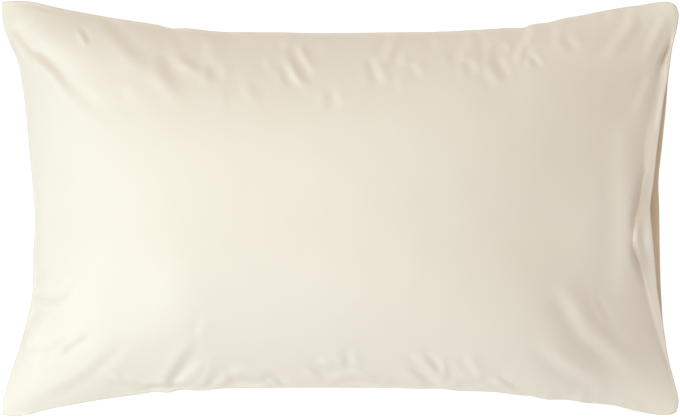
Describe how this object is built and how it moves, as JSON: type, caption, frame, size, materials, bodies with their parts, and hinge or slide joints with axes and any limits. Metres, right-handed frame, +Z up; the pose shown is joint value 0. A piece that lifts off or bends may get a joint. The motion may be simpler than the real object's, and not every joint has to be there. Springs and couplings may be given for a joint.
{
  "type": "pillowcase",
  "caption": "Plain cotton pillowcase on its pillow, lying on its back: crowned front, drawn-in sides, pulled-out corners and an open mouth at one end.",
  "frame": {"origin": "on the surface that the case lies on, under the middle of its outline", "axes": "+X along the case towards its open end, +Y across the case, +Z up out of its front"},
  "size_m": [0.7851, 0.481, 0.1618],
  "materials": {
    "front_cotton": "plain-woven cream cotton percale, smooth and matt with a faint sheen",
    "back_cotton": "the same plain-woven cream cotton percale, with its inside showing at the mouth"
  },
  "bodies": {
    "root": {"front_panel": "front_cotton", "back_panel": "back_cotton"}
  },
  "joints": []
}
